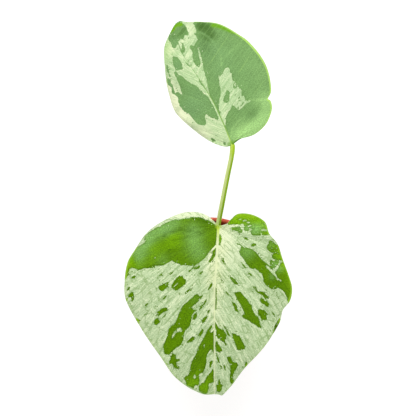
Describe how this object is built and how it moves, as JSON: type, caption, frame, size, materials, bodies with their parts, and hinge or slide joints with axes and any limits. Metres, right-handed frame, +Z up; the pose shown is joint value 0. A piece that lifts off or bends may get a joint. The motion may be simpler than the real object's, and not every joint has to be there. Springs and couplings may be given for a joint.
{
  "type": "potted monstera",
  "caption": "Young variegated monstera in a small plastic pot: a large heart-shaped leaf hangs forward over the pot and a small one reaches back on a long stalk.",
  "frame": {"origin": "middle of the pot's flat bottom, on the surface it stands on", "axes": "+Z up; the large leaf hangs towards -Y and the small leaf reaches back towards +Y"},
  "size_m": [0.1315, 0.2787, 0.2053],
  "materials": {
    "pot": "satin terracotta plastic",
    "soil": "loose damp potting mix",
    "stem": "smooth green stem with leaf scars",
    "stalk": "smooth satin leaf stalk",
    "blade": "satin leaf, pale with dark green patches"
  },
  "bodies": {
    "root": {"pot": "pot", "soil": "soil", "stem": "stem", "stalk_large": "stalk", "blade_large": "blade", "stalk_small": "stalk", "blade_small": "blade"}
  },
  "joints": []
}
